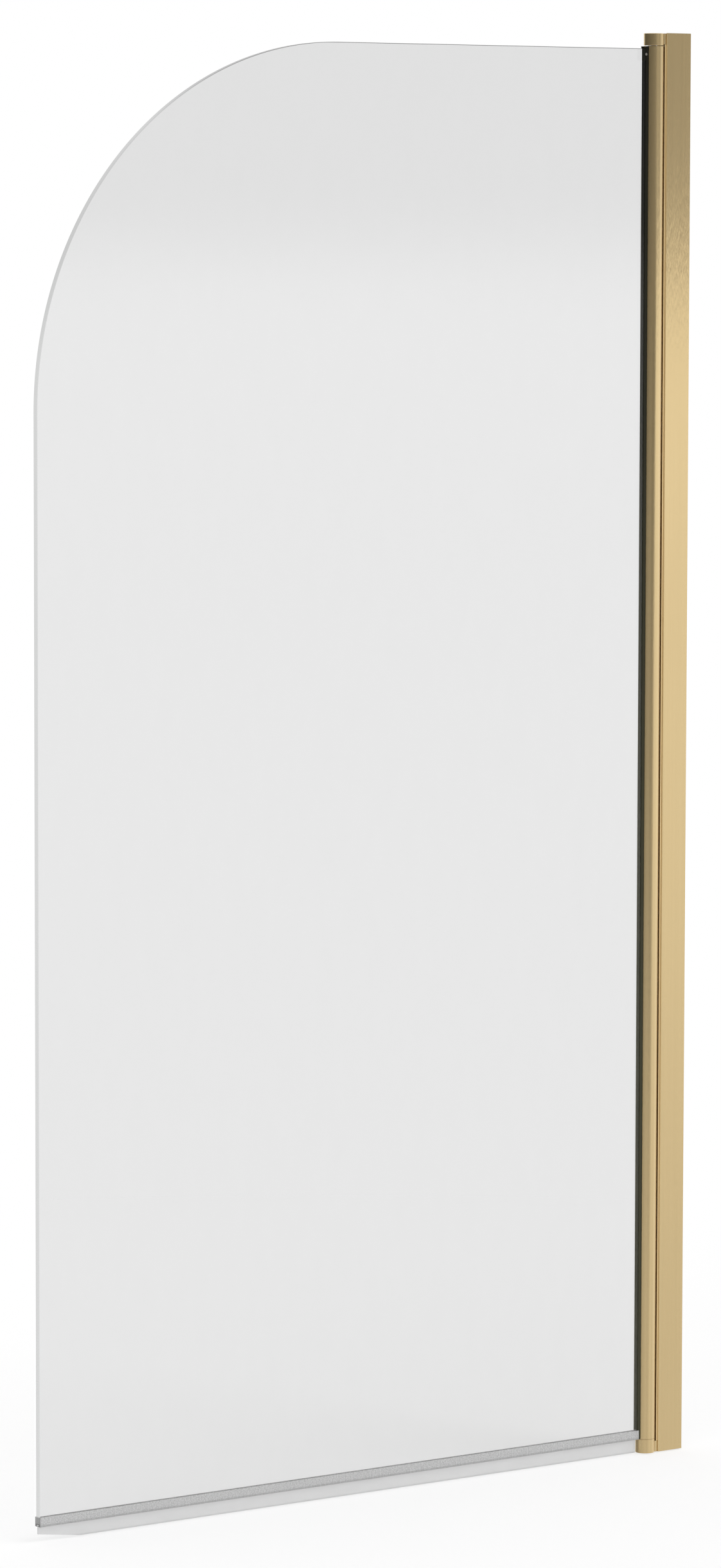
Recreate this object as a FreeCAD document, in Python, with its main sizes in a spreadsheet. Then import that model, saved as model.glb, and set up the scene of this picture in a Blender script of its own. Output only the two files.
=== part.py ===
"""Hinged bath screen: one glass panel that turns on a round barrel beside a wall channel.

Frame, in millimetres: the wall is the plane x = 0 and the screen reaches towards -X, the bath rim
is the plane z = 0 with +Z up, and y = 0 is the middle of the glass, with the front towards -Y.
"""
import FreeCAD, Part
import math
import os
import Sketcher

DIMENSIONS = {
    # Overall.
    "screen_height": 1433.0,
    "panel_reach": 785.0,
    "pivot_offset": 42.1,
    # Glass.
    "glass_thickness": 6.0,
    "glass_top_drop": 15.5,
    "glass_corner_radius": 350.0,
    "glass_bite": 3.7,
    "glass_arris": 0.6,
    # Wall channel.
    "channel_width": 15.0,
    "channel_depth": 30.7,
    "channel_side_wall": 1.2,
    "channel_base_wall": 2.0,
    "channel_edge_radius": 0.5,
    "wall_hole_diameter": 5.5,
    "wall_hole_inset": 80.0,
    # Hinge post, which slides in the channel.
    "slide_gap": 0.15,
    "post_lip_reach": 1.7,
    "post_inner_gap": 8.0,
    "post_wall": 1.4,
    "post_face_wall": 3.1,
    "post_rib": 1.4,
    "barrel_gap": 0.9,
    "screw_port_diameter": 3.4,
    "screw_port_wall": 1.3,
    "screw_port_inset": 3.6,
    # Hinge caps.
    "bottom_cap_height": 14.3,
    "bottom_neck_height": 11.2,
    "top_cap_sink": 0.4,
    "top_cap_height": 12.0,
    "top_neck_height": 10.8,
    "cap_edge_radius": 0.4,
    "neck_clearance": 0.1,
    # Barrel.
    "barrel_diameter": 19.8,
    "barrel_wall": 1.6,
    "barrel_bottom_gap": 0.2,
    "barrel_top_gap": 0.6,
    "barrel_rib": 1.6,
    # Pivots.
    "pin_diameter": 5.0,
    "pin_cap_depth": 9.0,
    "pin_bush_depth": 12.0,
    "pin_chamfer": 0.5,
    "press_clearance": 0.02,
    "running_clearance": 0.05,
    "bush_wall": 0.95,
    "bush_length": 16.0,
    "flange_diameter": 12.0,
    "flange_recess": 1.0,
    "flange_clearance": 0.2,
    "top_flange_gap": 0.3,
    # Glazing boot.
    "boot_leg": 0.5,
    "boot_base": 1.2,
    "boot_wing_width": 5.0,
    "boot_tab_width": 8.15,
    "boot_tab_height": 12.0,
    "boot_bead_width": 3.4,
    "boot_wing_thickness": 0.6,
    "boot_bead_thickness": 1.0,
    "boot_barrel_gap": 0.15,
    "boot_end_gap": 0.3,
    # Stud near the boot's top end.
    "stud_drop": 5.8,
    "stud_head_diameter": 2.6,
    "stud_head_height": 0.6,
    "stud_shank_diameter": 1.3,
    # Setting block under the glass.
    "block_length": 4.2,
    "block_side_gap": 0.1,
    # Bottom seal.
    "carrier_height": 9.2,
    "carrier_wall": 1.15,
    "carrier_glass_gap": 0.05,
    "carrier_floor": 2.7,
    "carrier_pivot_gap": 11.4,
    "blade_neck_wall": 0.8,
    "blade_slot_height": 1.1,
    "blade_head_width": 3.7,
    "blade_thickness": 1.2,
    "blade_slot_gap": 0.15,
    "blade_rim_gap": 0.7,
    "blade_pivot_gap": 13.1,
    "blade_trim_length": 49.0,
    "blade_trim_height": 6.6,
    # Water seal between post and barrel.
    "water_seal_width": 2.2,
    "water_seal_depth": 1.6,
    "water_seal_fit": 0.05,
    "water_seal_gap": 0.3,
    "water_seal_end_gap": 0.3,
    # Screws into the post's ports and through the channel's rear side.
    "cap_screw_shank": 3.3,
    "cap_screw_length": 22.0,
    "cap_screw_head": 7.0,
    "cap_screw_hole": 3.8,
    "countersink_clearance": 0.1,
    "hex_recess_radius": 1.5,
    "hex_recess_depth": 1.2,
    "clamp_screw_length": 5.8,
    "clamp_head_diameter": 6.6,
    "clamp_head_height": 2.2,
    "clamp_hole_diameter": 4.2,
    "clamp_inset": 150.0,
    "clamp_from_mouth": 10.7,
    "cover_diameter": 9.6,
    "cover_height": 3.4,
    "cover_wall": 0.7,
    "cover_edge_radius": 0.8,
    # Plug in the channel's open top.
    "plug_side_gap": 0.1,
    "plug_depth": 11.0,
}
WALL_HOLE_COUNT = 3
CLAMP_COUNT = 3


class Size:
    """A length that knows both its value and the sheet expression that drives it."""

    def __init__(self, value, text):
        self.value = value
        self.text = text

    @staticmethod
    def of(number):
        return number if isinstance(number, Size) else Size(float(number), repr(float(number)))

    def _with(self, sign, other, value):
        return Size(value, f"({self.text} {sign} {Size.of(other).text})")

    def __add__(self, other):
        return self._with("+", other, self.value + Size.of(other).value)

    def __sub__(self, other):
        return self._with("-", other, self.value - Size.of(other).value)

    def __mul__(self, other):
        return self._with("*", other, self.value * Size.of(other).value)

    def __truediv__(self, other):
        return self._with("/", other, self.value / Size.of(other).value)

    def __neg__(self):
        return Size(-self.value, f"(0 - {self.text})")

    def root(self):
        return Size(math.sqrt(self.value), f"sqrt({self.text})")


class Sizes:
    """The driving dimensions, each written to one named cell of the sheet."""

    def __init__(self, document, table):
        sheet = document.addObject("Spreadsheet::Sheet", "Sizes")
        for row, (name, number) in enumerate(table.items(), start=1):
            sheet.set(f"A{row}", str(number))
            sheet.setAlias(f"A{row}", name)
            setattr(self, name, Size(number, f"Sizes.{name}"))
        self.sheet = sheet


ZERO = Size(0.0, "0")
document = FreeCAD.newDocument("bath_screen")
s = Sizes(document, DIMENSIONS)
document.recompute()

# Heights and places that several pieces share.
barrel_radius = s.barrel_diameter / 2
pivot_x = -s.pivot_offset
barrel_bottom = s.bottom_cap_height + s.barrel_bottom_gap
top_cap_top = s.screen_height - s.top_cap_sink
top_cap_bottom = top_cap_top - s.top_cap_height
barrel_top = top_cap_bottom - s.barrel_top_gap
post_bottom = s.bottom_neck_height + s.neck_clearance
post_top = top_cap_top - s.top_neck_height - s.neck_clearance
post_half_width = s.channel_width / 2 - s.channel_side_wall - s.slide_gap
post_lip_x = -(s.channel_depth + s.post_lip_reach)
post_inner_x = -(s.channel_base_wall + s.post_inner_gap)
post_hollow_radius = barrel_radius + s.barrel_gap
port_radius = s.screw_port_diameter / 2
port_boss_radius = port_radius + s.screw_port_wall
chamber_left_x = pivot_x + post_hollow_radius + s.post_face_wall
chamber_right_x = post_inner_x - s.post_wall
port_xs = (chamber_left_x + s.screw_port_inset, chamber_right_x - s.screw_port_inset)
glass_half = s.glass_thickness / 2
slot_half = glass_half + s.boot_leg
slot_mouth_x = pivot_x - (barrel_radius * barrel_radius - slot_half * slot_half).root()
glass_right_x = slot_mouth_x + s.glass_bite
slot_floor_x = glass_right_x + s.boot_base
glass_top = s.screen_height - s.glass_top_drop
glass_bottom = barrel_bottom + s.carrier_floor
carrier_top = barrel_bottom + s.carrier_height
carrier_right_x = pivot_x - s.carrier_pivot_gap
bush_radius = s.pin_diameter / 2 + s.running_clearance + s.bush_wall
flange_top = barrel_bottom + s.flange_recess
boot_wing_x = slot_mouth_x - s.boot_wing_width
boot_bead_right_x = slot_mouth_x - s.boot_barrel_gap
boot_bead_x = boot_bead_right_x - s.boot_bead_width
clamp_x = -(s.channel_depth - s.clamp_from_mouth)
clamp_span = s.screen_height - s.clamp_inset * 2
pin_length = s.pin_cap_depth + s.barrel_bottom_gap + s.pin_bush_depth
bottom_pin_low = s.bottom_cap_height - s.pin_cap_depth
top_pin_low = top_cap_bottom + s.pin_cap_depth - pin_length
stud_z = glass_top - s.stud_drop


def new_body(label):
    """An empty body whose label names the piece."""
    body = document.addObject("PartDesign::Body", label)
    body.Label = label
    return body


def origin_part(body, role):
    """A plane or axis of the body's own origin."""
    return next(part for part in body.Origin.OriginFeatures if part.Role == role)


def new_sketch(body, role, name, offset=(ZERO, ZERO, ZERO)):
    """A sketch flat on one origin plane, moved by an offset along its own axes."""
    sketch = body.newObject("Sketcher::SketchObject", f"{body.Label}_{name}")
    sketch.AttachmentSupport = (origin_part(body, role), [""])
    sketch.MapMode = "FlatFace"
    for letter, amount in zip("xyz", offset):
        if amount is not ZERO:
            sketch.setExpression(f"AttachmentOffset.Base.{letter}", amount.text)
    return sketch


def tie(sketch, kind, first, point, size):
    """Hold one coordinate of a sketch point at a size measured from the sketch's origin."""
    index = sketch.addConstraint(Sketcher.Constraint(kind, -1, 1, first, point, size.value))
    sketch.setExpression(f"Constraints[{index}]", size.text)


def vector(point):
    return FreeCAD.Vector(point[0].value, point[1].value, 0)


def polygon(sketch, points):
    """A closed outline of straight lines, each corner tied to its two sizes."""
    corners = [(Size.of(x), Size.of(y)) for x, y in points]
    first = sketch.GeometryCount
    for here, after in zip(corners, corners[1:] + corners[:1]):
        sketch.addGeometry(Part.LineSegment(vector(here), vector(after)), False)
    for index in range(len(corners)):
        following = first + (index + 1) % len(corners)
        sketch.addConstraint(Sketcher.Constraint("Coincident", first + index, 2, following, 1))
    for index, (x, y) in enumerate(corners):
        tie(sketch, "DistanceX", first + index, 1, x)
        tie(sketch, "DistanceY", first + index, 1, y)


def rectangle(sketch, low, high):
    polygon(sketch, [low, (high[0], low[1]), high, (low[0], high[1])])


def circle(sketch, centre, radius):
    """A circle tied by its centre and radius."""
    centre = (Size.of(centre[0]), Size.of(centre[1]))
    axis = FreeCAD.Vector(0, 0, 1)
    index = sketch.addGeometry(Part.Circle(vector(centre), axis, radius.value), False)
    tie(sketch, "DistanceX", index, 3, centre[0])
    tie(sketch, "DistanceY", index, 3, centre[1])
    size_index = sketch.addConstraint(Sketcher.Constraint("Radius", index, radius.value))
    sketch.setExpression(f"Constraints[{size_index}]", radius.text)


def pad(body, sketch, name, length, symmetric=False, reverse=False):
    """Material added along the sketch's normal."""
    feature = body.newObject("PartDesign::Pad", f"{body.Label}_{name}")
    feature.Profile = sketch
    feature.setExpression("Length", length.text)
    if symmetric:
        feature.SideType = "Symmetric"
    feature.Reversed = reverse
    document.recompute()
    return feature


def volume_cut(body, feature):
    """Recompute, and stop if the cut took nothing away."""
    before = body.Shape.Volume
    document.recompute()
    if body.Shape.Volume >= before:
        raise RuntimeError(f"{feature.Name} cuts nothing")


def pocket(body, sketch, name, length, symmetric=False, reverse=False):
    """Material taken away, against the sketch's normal unless reversed."""
    document.recompute()
    feature = body.newObject("PartDesign::Pocket", f"{body.Label}_{name}")
    feature.Profile = sketch
    feature.setExpression("Length", length.text)
    if symmetric:
        feature.SideType = "Symmetric"
    feature.Reversed = reverse
    volume_cut(body, feature)
    return feature


def revolve(body, sketch, name):
    """A full turn about the sketch's vertical axis."""
    feature = body.newObject("PartDesign::Revolution", f"{body.Label}_{name}")
    feature.Profile = sketch
    feature.ReferenceAxis = (sketch, ["V_Axis"])
    feature.Angle = 360
    document.recompute()
    return feature


def edges_where(shape, test):
    """Names of the edges whose middle and direction pass a test."""
    names = []
    for number, edge in enumerate(shape.Edges, start=1):
        middle = edge.valueAt((edge.FirstParameter + edge.LastParameter) / 2)
        if test(edge, middle):
            names.append(f"Edge{number}")
    return names


def dress(body, kind, name, base, edges, size):
    """A fillet or chamfer of one size on the named edges."""
    feature = body.newObject(f"PartDesign::{kind}", f"{body.Label}_{name}")
    feature.Base = (base, edges)
    feature.setExpression("Radius" if kind == "Fillet" else "Size", size.text)
    document.recompute()
    return feature


def row_of(body, originals, name, role, span, count):
    """Copies spread evenly over a span along an origin axis: of the features given, or else of all."""
    feature = body.newObject("PartDesign::LinearPattern", f"{body.Label}_{name}")
    if originals:
        feature.Originals = originals
    else:
        feature.TransformMode = "Whole shape"
    feature.Direction = (origin_part(body, role), [""])
    feature.setExpression("Length", span.text)
    feature.Occurrences = count
    body.Tip = feature
    document.recompute()
    return feature


def is_vertical(edge):
    """True for a straight edge along Z."""
    box = edge.BoundBox
    return box.ZLength > 1 and box.XLength < 1e-6 and box.YLength < 1e-6


def near(number, size):
    return abs(number - size.value) < 1e-4


def wall_channel():
    body = new_body("wall_channel")
    half = s.channel_width / 2
    inner = half - s.channel_side_wall
    depth, base = s.channel_depth, s.channel_base_wall
    plan = new_sketch(body, "XY_Plane", "plan")
    polygon(plan, [
        (ZERO, -half), (ZERO, half), (-depth, half), (-depth, inner),
        (-base, inner), (-base, -inner), (-depth, -inner), (-depth, -half),
    ])
    shell = pad(body, plan, "shell", s.screen_height)
    corners = edges_where(shell.Shape, lambda edge, at: is_vertical(edge)
                          and near(abs(at.y), half) and near(-at.x, depth))
    dress(body, "Fillet", "mouth_edges", shell, corners, s.channel_edge_radius)

    holes = new_sketch(body, "YZ_Plane", "wall_holes")
    span = s.screen_height - s.wall_hole_inset * 2
    circle(holes, (ZERO, s.wall_hole_inset), s.wall_hole_diameter / 2)
    drilled = pocket(body, holes, "wall_hole", base * 2)
    row_of(body, [drilled], "wall_hole_row", "Z_Axis", span, WALL_HOLE_COUNT)

    side = new_sketch(body, "XZ_Plane", "clamp_holes")
    circle(side, (clamp_x, s.clamp_inset), s.clamp_hole_diameter / 2)
    clamp = pocket(body, side, "clamp_hole", s.channel_width)
    row_of(body, [clamp], "clamp_hole_row", "Z_Axis", clamp_span, CLAMP_COUNT)
    return body


def hinge_post():
    """A box section with a hollow face towards the barrel and two screw ports on its rib."""
    body = new_body("hinge_post")
    height = post_top - post_bottom
    floor = (ZERO, ZERO, post_bottom)
    plan = new_sketch(body, "XY_Plane", "plan", floor)
    rectangle(plan, (post_lip_x, -post_half_width), (post_inner_x, post_half_width))
    pad(body, plan, "box", height)

    hollow = new_sketch(body, "XY_Plane", "hollow", floor)
    circle(hollow, (pivot_x, ZERO), post_hollow_radius)
    pocket(body, hollow, "hollow_face", height, reverse=True)

    chambers = new_sketch(body, "XY_Plane", "chambers", floor)
    rib = s.post_rib / 2
    wall_y = post_half_width - s.post_wall
    rectangle(chambers, (chamber_left_x, rib), (chamber_right_x, wall_y))
    rectangle(chambers, (chamber_left_x, -wall_y), (chamber_right_x, -rib))
    pocket(body, chambers, "chamber", height, reverse=True)

    bosses = new_sketch(body, "XY_Plane", "bosses", floor)
    ports = new_sketch(body, "XY_Plane", "ports", floor)
    for port_x in port_xs:
        circle(bosses, (port_x, ZERO), port_boss_radius)
        circle(ports, (port_x, ZERO), port_radius)
    pad(body, bosses, "port_boss", height)
    pocket(body, ports, "port", height, reverse=True)

    groove = new_sketch(body, "XY_Plane", "seal_groove", floor)
    groove_floor_x = pivot_x + post_hollow_radius + s.water_seal_depth
    groove_half = s.water_seal_width / 2
    rectangle(groove, (pivot_x, -groove_half), (groove_floor_x, groove_half))
    pocket(body, groove, "seal_slot", height, reverse=True)

    side = new_sketch(body, "XZ_Plane", "clamp_ports", (ZERO, ZERO, -(rib + port_boss_radius)))
    circle(side, (clamp_x, s.clamp_inset), port_radius)
    clamp = pocket(body, side, "clamp_port", s.channel_width)
    row_of(body, [clamp], "clamp_port_row", "Z_Axis", clamp_span, CLAMP_COUNT)
    return body


def hinge_cap(label, low, high, neck_low, neck_high, pin_low, outer_z):
    """A round cap over the barrel's end, with a neck that lies on the post's end."""
    body = new_body(label)
    disc = new_sketch(body, "XY_Plane", "disc", (ZERO, ZERO, low))
    circle(disc, (pivot_x, ZERO), barrel_radius)
    round_part = pad(body, disc, "round", high - low)
    rims = edges_where(round_part.Shape, lambda edge, at: not is_vertical(edge))
    dress(body, "Fillet", "rim_edges", round_part, rims, s.cap_edge_radius)

    neck = new_sketch(body, "XY_Plane", "neck", (ZERO, ZERO, neck_low))
    rectangle(neck, (pivot_x, -post_half_width), (post_inner_x, post_half_width))
    pad(body, neck, "tail", neck_high - neck_low)

    seat = new_sketch(body, "XY_Plane", "pin_seat", (ZERO, ZERO, pin_low))
    circle(seat, (pivot_x, ZERO), s.pin_diameter / 2 + s.press_clearance)
    pocket(body, seat, "pin_hole", s.pin_cap_depth, reverse=True)

    holes = new_sketch(body, "XY_Plane", "screw_holes", (ZERO, ZERO, low))
    for port_x in port_xs:
        circle(holes, (port_x, ZERO), s.cap_screw_hole / 2)
    drilled = pocket(body, holes, "screw_hole", high - low, reverse=True)
    mouths = edges_where(drilled.Shape, lambda edge, at: near(at.z, outer_z)
                         and near(edge.BoundBox.XLength, s.cap_screw_hole))
    sink = (s.cap_screw_head - s.cap_screw_hole) / 2 + s.countersink_clearance
    dress(body, "Chamfer", "countersink", drilled, mouths, sink)
    return body


def pivot_pin(label, low):
    """A plain pin, half in a cap and half in a bush."""
    body = new_body(label)
    section = new_sketch(body, "XY_Plane", "section", (ZERO, ZERO, low))
    circle(section, (pivot_x, ZERO), s.pin_diameter / 2)
    shaft = pad(body, section, "shaft", pin_length)
    ends = edges_where(shaft.Shape, lambda edge, at: not is_vertical(edge))
    dress(body, "Chamfer", "ends", shaft, ends, s.pin_chamfer)
    return body


def pivot_bush(label, flange_outer, flange_inner, tube_end):
    """A flanged bush, turned about the pivot axis; the flange faces the cap."""
    body = new_body(label)
    section = new_sketch(body, "XZ_Plane", "section", (pivot_x, ZERO, ZERO))
    bore = s.pin_diameter / 2 + s.running_clearance
    flange = s.flange_diameter / 2
    polygon(section, [
        (bore, flange_outer), (flange, flange_outer), (flange, flange_inner),
        (bush_radius, flange_inner), (bush_radius, tube_end), (bore, tube_end),
    ])
    revolve(body, section, "turned")
    return body


def cap_screws(label, head_z, inwards):
    """Two countersunk screws that hold a cap on the post; one outline, turned at each port."""
    body = new_body(label)
    shank, head = s.cap_screw_shank / 2, s.cap_screw_head / 2
    cone_end = head_z + (head - shank) * inwards
    tip = head_z + s.cap_screw_length * inwards
    section = new_sketch(body, "XZ_Plane", "section", (port_xs[0], ZERO, ZERO))
    polygon(section, [(ZERO, head_z), (head, head_z), (shank, cone_end), (shank, tip), (ZERO, tip)])
    turned = revolve(body, section, "turned")
    recess = new_sketch(body, "XY_Plane", "recess", (port_xs[0], ZERO, head_z))
    polygon(recess, [(s.hex_recess_radius * math.cos(turn), s.hex_recess_radius * math.sin(turn))
                     for turn in (math.radians(60 * side) for side in range(6))])
    socket = pocket(body, recess, "hex_recess", s.hex_recess_depth, reverse=inwards > 0)
    row_of(body, [turned, socket], "pair", "X_Axis", port_xs[1] - port_xs[0], len(port_xs))
    return body


def clamp_screws():
    """Pan-head screws through the channel's rear side into the post."""
    body = new_body("post_clamp_screws")
    rear = s.channel_width / 2
    shank, head = s.cap_screw_shank / 2, s.clamp_head_diameter / 2
    tip, crown = rear - s.clamp_screw_length, rear + s.clamp_head_height
    section = new_sketch(body, "XY_Plane", "section", (clamp_x, ZERO, s.clamp_inset))
    polygon(section, [(ZERO, tip), (shank, tip), (shank, rear), (head, rear), (head, crown), (ZERO, crown)])
    turned = revolve(body, section, "turned")
    rims = edges_where(turned.Shape, lambda edge, at: near(at.y, crown) and edge.Closed)
    dress(body, "Fillet", "crown_edge", turned, rims, s.clamp_head_height / 2)
    row_of(body, [], "row", "Z_Axis", clamp_span, CLAMP_COUNT)
    return body


def screw_covers():
    """Press-on covers over the clamp screws' heads."""
    body = new_body("clamp_screw_covers")
    rear = s.channel_width / 2
    outer, wall = s.cover_diameter / 2, s.cover_wall
    inner, crown = outer - wall, rear + s.cover_height
    section = new_sketch(body, "XY_Plane", "section", (clamp_x, ZERO, s.clamp_inset))
    polygon(section, [(ZERO, crown), (outer, crown), (outer, rear), (inner, rear),
                      (inner, crown - wall), (ZERO, crown - wall)])
    turned = revolve(body, section, "turned")
    rims = edges_where(turned.Shape, lambda edge, at: near(at.y, crown) and edge.Closed)
    dress(body, "Fillet", "crown_edge", turned, rims, s.cover_edge_radius)
    row_of(body, [], "row", "Z_Axis", clamp_span, CLAMP_COUNT)
    return body


def channel_top_plug():
    """Closes the channel's open top between the cap's neck and the base wall."""
    body = new_body("channel_top_plug")
    gap = s.plug_side_gap
    half = s.channel_width / 2 - s.channel_side_wall - gap
    plan = new_sketch(body, "XY_Plane", "plan", (ZERO, ZERO, top_cap_top - s.plug_depth))
    rectangle(plan, (post_inner_x + gap, -half), (-s.channel_base_wall - gap, half))
    pad(body, plan, "block", s.plug_depth)
    return body


def post_water_seal():
    """A soft strip in the post's hollow face, its tip just clear of the barrel."""
    body = new_body("post_water_seal")
    low = post_bottom + s.water_seal_end_gap
    height = post_top - s.water_seal_end_gap - low
    half = s.water_seal_width / 2 - s.water_seal_fit
    back_x = pivot_x + post_hollow_radius + s.water_seal_depth - s.water_seal_fit
    plan = new_sketch(body, "XY_Plane", "plan", (ZERO, ZERO, low))
    rectangle(plan, (pivot_x, -half), (back_x, half))
    pad(body, plan, "strip", height)
    trim = new_sketch(body, "XY_Plane", "trim", (ZERO, ZERO, low))
    circle(trim, (pivot_x, ZERO), barrel_radius + s.water_seal_gap)
    pocket(body, trim, "wiping_face", height, reverse=True)
    return body


def glass_panel():
    """The pane: one quarter-round corner at the top of its free edge, and arrised edges."""
    body = new_body("glass_panel")
    left_x = -s.panel_reach
    radius = s.glass_corner_radius
    front = new_sketch(body, "XZ_Plane", "outline")
    centre = (left_x + radius, glass_top - radius)
    start, end = (left_x, centre[1]), (centre[0], glass_top)
    right_low, right_high, left_low = (
        (glass_right_x, glass_bottom), (glass_right_x, glass_top), (left_x, glass_bottom))
    arc_shape = Part.Circle(vector(centre), FreeCAD.Vector(0, 0, 1), radius.value)
    arc = front.addGeometry(Part.ArcOfCircle(arc_shape, math.pi / 2, math.pi), False)
    top = front.addGeometry(Part.LineSegment(vector(end), vector(right_high)), False)
    right = front.addGeometry(Part.LineSegment(vector(right_high), vector(right_low)), False)
    bottom = front.addGeometry(Part.LineSegment(vector(right_low), vector(left_low)), False)
    left = front.addGeometry(Part.LineSegment(vector(left_low), vector(start)), False)
    joints = ((top, 2, right, 1), (right, 2, bottom, 1), (bottom, 2, left, 1))
    for joint in joints:
        front.addConstraint(Sketcher.Constraint("Coincident", *joint))
    front.addConstraint(Sketcher.Constraint("Tangent", arc, 1, top, 1))
    front.addConstraint(Sketcher.Constraint("Tangent", left, 2, arc, 2))
    for line in (top, bottom):
        front.addConstraint(Sketcher.Constraint("Horizontal", line))
    for line in (right, left):
        front.addConstraint(Sketcher.Constraint("Vertical", line))
    tie(front, "DistanceX", right, 1, right_high[0])
    tie(front, "DistanceY", right, 1, right_high[1])
    tie(front, "DistanceX", bottom, 2, left_low[0])
    tie(front, "DistanceY", bottom, 2, left_low[1])
    size_index = front.addConstraint(Sketcher.Constraint("Radius", arc, radius.value))
    front.setExpression(f"Constraints[{size_index}]", radius.text)
    pane = pad(body, front, "pane", s.glass_thickness, symmetric=True)
    rims = edges_where(pane.Shape, lambda edge, at: near(abs(at.y), glass_half))
    dress(body, "Chamfer", "arris", pane, rims, s.glass_arris)
    return body


def pivot_barrel():
    """A round extrusion: a slot for the glass, a bore for the bushes and two hollow chambers."""
    body = new_body("pivot_barrel")
    height = barrel_top - barrel_bottom
    floor = (ZERO, ZERO, barrel_bottom)
    plan = new_sketch(body, "XY_Plane", "plan", floor)
    circle(plan, (pivot_x, ZERO), barrel_radius)
    pad(body, plan, "round", height)

    core = bush_radius + s.barrel_wall
    chambers = new_sketch(body, "XY_Plane", "chambers", floor)
    chamber_radius = barrel_radius - s.barrel_wall
    rib = s.barrel_rib / 2
    for side in (1, -1):
        half_ring(chambers, chamber_radius, core, rib, side)
    pocket(body, chambers, "chamber", height, reverse=True)

    slot = new_sketch(body, "XY_Plane", "glass_slot", floor)
    rectangle(slot, (pivot_x - s.barrel_diameter, -slot_half), (slot_floor_x, slot_half))
    pocket(body, slot, "slot", height, reverse=True)

    bore = new_sketch(body, "XY_Plane", "bush_bore", floor)
    circle(bore, (pivot_x, ZERO), bush_radius + s.press_clearance)
    pocket(body, bore, "bore", height, reverse=True)

    seat_radius = s.flange_diameter / 2 + s.flange_clearance
    for end, level, upwards in (("bottom", barrel_bottom, True), ("top", barrel_top, False)):
        seat = new_sketch(body, "XY_Plane", f"{end}_flange_seat", (ZERO, ZERO, level))
        circle(seat, (pivot_x, ZERO), seat_radius)
        pocket(body, seat, f"{end}_seat", s.flange_recess, reverse=upwards)
    return body


def half_ring(sketch, outer, inner, rib, side):
    """A quarter of a ring right of the axis, clear of the rib, on one side of y = 0."""
    def height_at(radius, offset):
        return math.sqrt(radius.value ** 2 - offset.value ** 2)

    near_axis = {radius: (pivot_x.value, side * radius.value) for radius in (outer, inner)}
    near_rib = {radius: (pivot_x.value + height_at(radius, rib), side * rib.value)
                for radius in (outer, inner)}
    arcs = {}
    for radius in (outer, inner):
        ring = Part.Circle(FreeCAD.Vector(pivot_x.value, 0, 0), FreeCAD.Vector(0, 0, 1), radius.value)
        rib_angle = math.asin(rib.value / radius.value)
        angles = (rib_angle, math.pi / 2) if side > 0 else (-math.pi / 2, -rib_angle)
        arcs[radius] = sketch.addGeometry(Part.ArcOfCircle(ring, *angles), False)
    top_end, rib_end = (2, 1) if side > 0 else (1, 2)

    def line(ends):
        points = [FreeCAD.Vector(*ends[radius], 0) for radius in (outer, inner)]
        return sketch.addGeometry(Part.LineSegment(*points), False)

    upright = line(near_axis)
    along_rib = line(near_rib)
    for radius, point in ((outer, 1), (inner, 2)):
        arc = arcs[radius]
        sketch.addConstraint(Sketcher.Constraint("Coincident", arc, top_end, upright, point))
        sketch.addConstraint(Sketcher.Constraint("Coincident", arc, rib_end, along_rib, point))
        tie(sketch, "DistanceX", arc, 3, pivot_x)
        tie(sketch, "DistanceY", arc, 3, ZERO)
        tie(sketch, "DistanceX", arc, top_end, pivot_x)
        tie(sketch, "DistanceY", arc, rib_end, rib * side)
        size_index = sketch.addConstraint(Sketcher.Constraint("Radius", arc, radius.value))
        sketch.setExpression(f"Constraints[{size_index}]", radius.text)


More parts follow.
